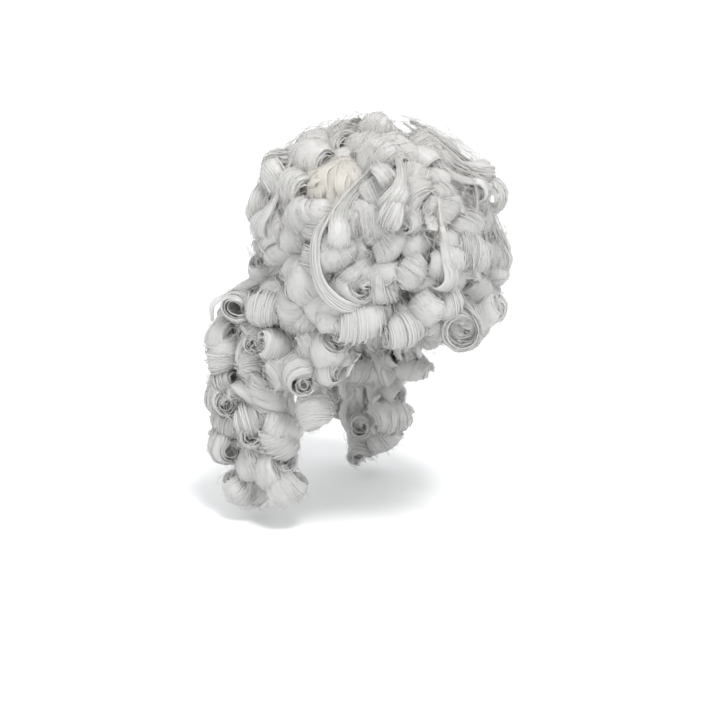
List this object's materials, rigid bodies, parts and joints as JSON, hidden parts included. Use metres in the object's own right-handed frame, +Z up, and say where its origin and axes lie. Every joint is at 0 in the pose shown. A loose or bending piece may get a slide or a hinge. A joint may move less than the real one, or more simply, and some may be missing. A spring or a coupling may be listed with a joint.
{
  "type": "costume wig",
  "caption": "Long white curly costume wig: a wefted stretch cap with rows of barrel curls and loose ringlets that hang in front of each shoulder.",
  "frame": {"origin": "middle of the head opening at the girth line, where a head is measured round", "axes": "+Z up, the wearer faces -Y and the wearer's left side is +X"},
  "size_m": [0.3024, 0.3506, 0.501],
  "materials": {
    "hair": "soft white synthetic hair fibre with a silky sheen",
    "net": "stretch net",
    "skin_patch": "closed cream crown cloth",
    "band": "soft knitted band with an overlocked edge",
    "rib": "flat woven elastic",
    "weft_tape": "sewn weft tape",
    "tape": "woven tape",
    "elastic": "ribbed elastic",
    "hook": "moulded plastic",
    "stay": "thin bendable strip",
    "label": "blank satin label"
  },
  "bodies": {
    "cap": {"crown_patch": "skin_patch", "crown_net": "net", "front_band": "band", "nape_band": "band", "blank_label": "label", "ear_tab_left": "band", "ear_tab_right": "band", "ear_stay_left": "stay", "ear_stay_right": "stay", "ear_binding_left": "band", "ear_binding_right": "band", "rib_back": "rib", "rib_back_left": "rib", "rib_back_right": "rib", "rib_side_left": "rib", "rib_side_right": "rib", "rib_front_left": "rib", "rib_front_right": "rib", "weft_tape_1": "weft_tape", "weft_tape_2": "weft_tape", "weft_tape_3": "weft_tape", "weft_tape_4": "weft_tape", "weft_tape_5": "weft_tape", "weft_tape_6": "weft_tape", "weft_tape_7": "weft_tape", "pocket_strip_left": "tape", "pocket_strip_right": "tape", "strap_keeper_left": "tape", "strap_keeper_right": "tape", "crown_curl": "hair", "hair_row_1": "hair", "hair_row_2": "hair", "hair_row_3": "hair", "hair_row_4": "hair", "hair_row_5": "hair", "hair_row_6": "hair", "hair_row_7": "hair", "side_hair_left": "hair", "side_hair_right": "hair"},
    "adjuster_left": {"adjuster_strap_left": "elastic", "adjuster_hook_left": "hook"},
    "adjuster_right": {"adjuster_strap_right": "elastic", "adjuster_hook_right": "hook"},
    "lock_left_1": {"front_lock_left_1": "hair"},
    "lock_left_2": {"front_lock_left_2": "hair"},
    "lock_left_3": {"front_lock_left_3": "hair"},
    "lock_left_4": {"front_lock_left_4": "hair"},
    "lock_left_5": {"front_lock_left_5": "hair"},
    "lock_right_1": {"front_lock_right_1": "hair"},
    "lock_right_2": {"front_lock_right_2": "hair"},
    "lock_right_3": {"front_lock_right_3": "hair"},
    "lock_right_4": {"front_lock_right_4": "hair"},
    "lock_right_5": {"front_lock_right_5": "hair"}
  },
  "joints": [
    {"name": "adjuster_left_slide", "type": "hinge", "parent": "cap", "child": "adjuster_left", "pos_m": [0, 0.015, -0.065], "axis": [0, 0, 1], "range_deg": [-9, 9]},
    {"name": "adjuster_right_slide", "type": "hinge", "parent": "cap", "child": "adjuster_right", "pos_m": [0, 0.015, -0.065], "axis": [0, 0, -1], "range_deg": [-9, 9]},
    {"name": "front_lock_left_1_swing", "type": "hinge", "parent": "cap", "child": "lock_left_1", "pos_m": [0.112, -0.16, -0.112], "axis": [0, -1, 0], "range_deg": [-12, 30]},
    {"name": "front_lock_left_2_swing", "type": "hinge", "parent": "cap", "child": "lock_left_2", "pos_m": [0.112, -0.114, -0.112], "axis": [0, -1, 0], "range_deg": [-12, 30]},
    {"name": "front_lock_left_3_swing", "type": "hinge", "parent": "cap", "child": "lock_left_3", "pos_m": [0.112, -0.068, -0.112], "axis": [0, -1, 0], "range_deg": [-12, 30]},
    {"name": "front_lock_left_4_swing", "type": "hinge", "parent": "cap", "child": "lock_left_4", "pos_m": [0.112, -0.022, -0.112], "axis": [0, -1, 0], "range_deg": [-12, 30]},
    {"name": "front_lock_left_5_swing", "type": "hinge", "parent": "cap", "child": "lock_left_5", "pos_m": [0.112, 0.024, -0.112], "axis": [0, -1, 0], "range_deg": [-12, 30]},
    {"name": "front_lock_right_1_swing", "type": "hinge", "parent": "cap", "child": "lock_right_1", "pos_m": [-0.112, -0.16, -0.112], "axis": [0, 1, 0], "range_deg": [-12, 30]},
    {"name": "front_lock_right_2_swing", "type": "hinge", "parent": "cap", "child": "lock_right_2", "pos_m": [-0.112, -0.114, -0.112], "axis": [0, 1, 0], "range_deg": [-12, 30]},
    {"name": "front_lock_right_3_swing", "type": "hinge", "parent": "cap", "child": "lock_right_3", "pos_m": [-0.112, -0.068, -0.112], "axis": [0, 1, 0], "range_deg": [-12, 30]},
    {"name": "front_lock_right_4_swing", "type": "hinge", "parent": "cap", "child": "lock_right_4", "pos_m": [-0.112, -0.022, -0.112], "axis": [0, 1, 0], "range_deg": [-12, 30]},
    {"name": "front_lock_right_5_swing", "type": "hinge", "parent": "cap", "child": "lock_right_5", "pos_m": [-0.112, 0.024, -0.112], "axis": [0, 1, 0], "range_deg": [-12, 30]}
  ]
}
